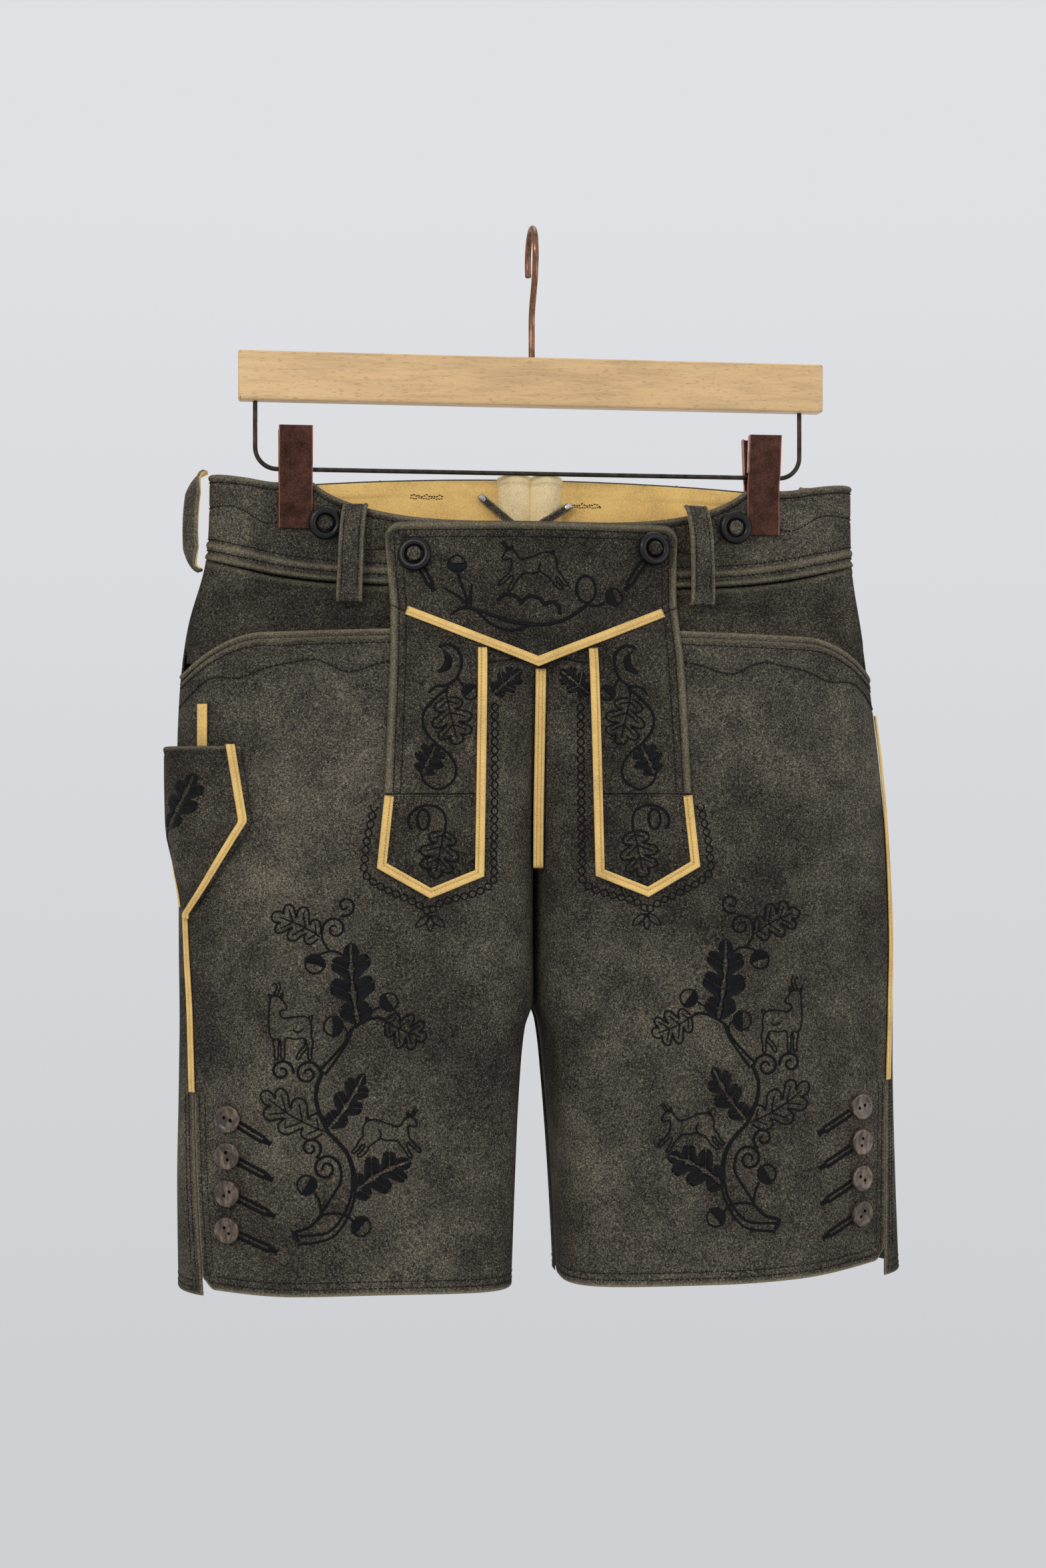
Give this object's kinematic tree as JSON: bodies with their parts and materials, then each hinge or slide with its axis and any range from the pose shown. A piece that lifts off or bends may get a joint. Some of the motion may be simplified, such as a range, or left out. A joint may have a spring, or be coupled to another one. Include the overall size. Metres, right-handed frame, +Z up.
{
  "type": "lederhosen on clip hanger",
  "caption": "Short suede lederhosen with a buttoned front flap, side pockets, belt loops and laced hems, hung by the waist from a wooden clip hanger with a wire hook.",
  "frame": {"origin": "the underside of the top of the hook's bend, where it rests on a rail", "axes": "+Z up, +X towards the garment's left hip as its wearer would feel it, which is the right of a front view, -Y out of the front"},
  "size_m": [0.4858, 0.1135, 0.6911],
  "materials": {
    "suede": "brushed suede",
    "dark_suede": "brushed suede",
    "chamois": "fleecy chamois leather",
    "black_horn": "polished",
    "stag_horn": "satin horn",
    "beech": "satin lacquer",
    "copper": "drawn wire",
    "old_copper": "aged and polished at the edges",
    "bronze": "dark satin"
  },
  "bodies": {
    "root": {"back_left": "suede", "back_right": "suede", "clip_back_left": "old_copper", "clip_back_right": "old_copper", "clip_front_left": "old_copper", "clip_front_right": "old_copper", "facing_left": "chamois", "facing_right": "chamois", "flap_strip_left": "dark_suede", "flap_strip_right": "dark_suede", "flap_tip_left": "dark_suede", "flap_tip_right": "dark_suede", "flap_top": "dark_suede", "front_left": "suede", "front_right": "suede", "gusset": "chamois", "hanger_bar": "beech", "hanger_hook": "copper", "hanger_wire": "bronze", "hem_button_left_1": "stag_horn", "hem_button_left_2": "stag_horn", "hem_button_left_3": "stag_horn", "hem_button_left_4": "stag_horn", "hem_button_right_1": "stag_horn", "hem_button_right_2": "stag_horn", "hem_button_right_3": "stag_horn", "hem_button_right_4": "stag_horn", "hip_left": "dark_suede", "hip_right": "dark_suede", "knife_piping": "chamois", "knife_pocket": "dark_suede", "knife_strap": "chamois", "knot_back_left": "dark_suede", "knot_back_right": "dark_suede", "knot_flap_left": "dark_suede", "knot_flap_right": "dark_suede", "knot_front_left": "dark_suede", "knot_front_right": "dark_suede", "lace": "dark_suede", "loop_back_left": "suede", "loop_back_right": "suede", "loop_front_left": "suede", "loop_front_right": "suede", "loop_side_left": "suede", "loop_side_right": "suede", "piping_centre": "chamois", "piping_side_left": "chamois", "piping_side_right": "chamois", "piping_strip_left": "chamois", "piping_strip_right": "chamois", "piping_v": "chamois", "ring_back_left": "black_horn", "ring_back_right": "black_horn", "ring_flap_left": "black_horn", "ring_flap_right": "black_horn", "ring_front_left": "black_horn", "ring_front_right": "black_horn", "waistband_left": "suede", "waistband_right": "suede"}
  },
  "joints": []
}
